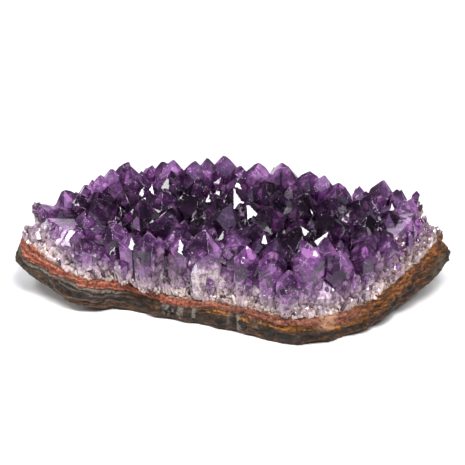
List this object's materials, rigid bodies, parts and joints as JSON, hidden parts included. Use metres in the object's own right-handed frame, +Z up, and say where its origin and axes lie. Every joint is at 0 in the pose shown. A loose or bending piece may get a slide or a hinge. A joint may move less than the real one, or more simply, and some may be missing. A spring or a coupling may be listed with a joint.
{
  "type": "amethyst cluster",
  "caption": "Slab of geode shell with a banded rind below and a crowded druse of pointed purple quartz crystals above.",
  "frame": {"origin": "on the ground under the middle of the piece", "axes": "+X along the longest side, +Y to the back, +Z up towards the crystal tips"},
  "size_m": [0.1594, 0.0894, 0.0376],
  "materials": {
    "matrix": "broken agate and basalt rind, dull, with a brick red band above a dark grey-brown one",
    "crystals": "glossy natural amethyst, see-through deep purple at the tips, white and granular at the foot"
  },
  "bodies": {
    "root": {"matrix": "matrix", "crystals": "crystals"}
  },
  "joints": []
}
